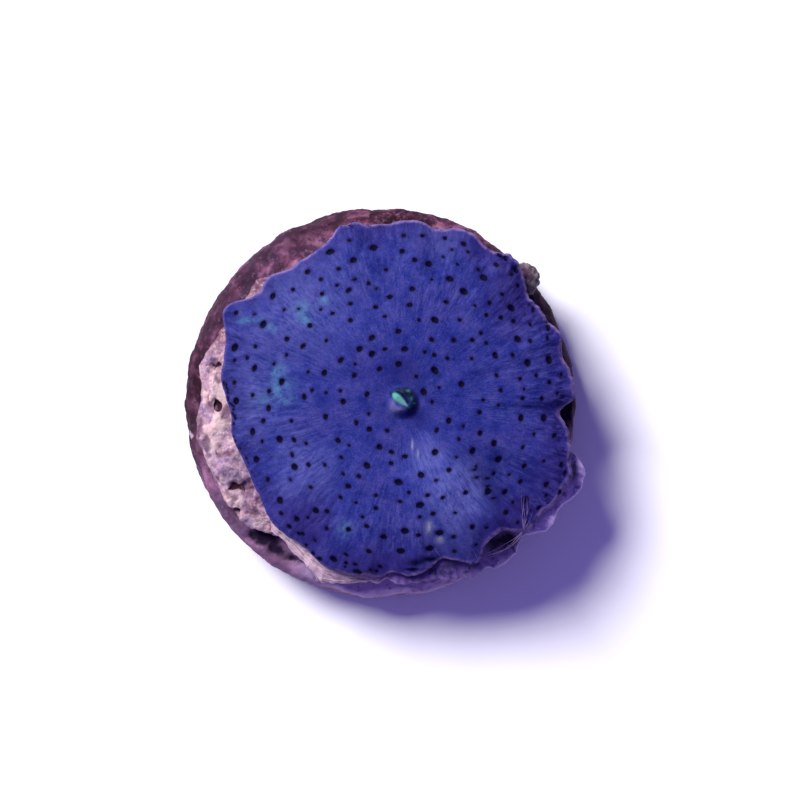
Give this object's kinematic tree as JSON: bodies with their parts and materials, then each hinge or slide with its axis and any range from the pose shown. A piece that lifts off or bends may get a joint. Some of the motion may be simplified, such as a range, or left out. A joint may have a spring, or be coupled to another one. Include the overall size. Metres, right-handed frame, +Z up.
{
  "type": "mushroom coral",
  "caption": "Wide, thin, spotted mushroom coral polyp with a ruffled rim, on a lump of reef rubble that stands on a flat round ceramic disc.",
  "frame": {"origin": "centre of the ceramic disc's flat underside", "axes": "+Z up through the disc, +X to the right and +Y away as seen from straight above"},
  "size_m": [0.0326, 0.032, 0.0119],
  "materials": {
    "crusted_ceramic": "matte, crusted with purple-brown coralline algae",
    "reef_rubble": "rough, pale pink",
    "polyp_tissue": "soft, velvety, blue with dark spots"
  },
  "bodies": {
    "root": {"frag_disc": "crusted_ceramic", "rubble_rock": "reef_rubble", "mushroom_polyp": "polyp_tissue"}
  },
  "joints": []
}
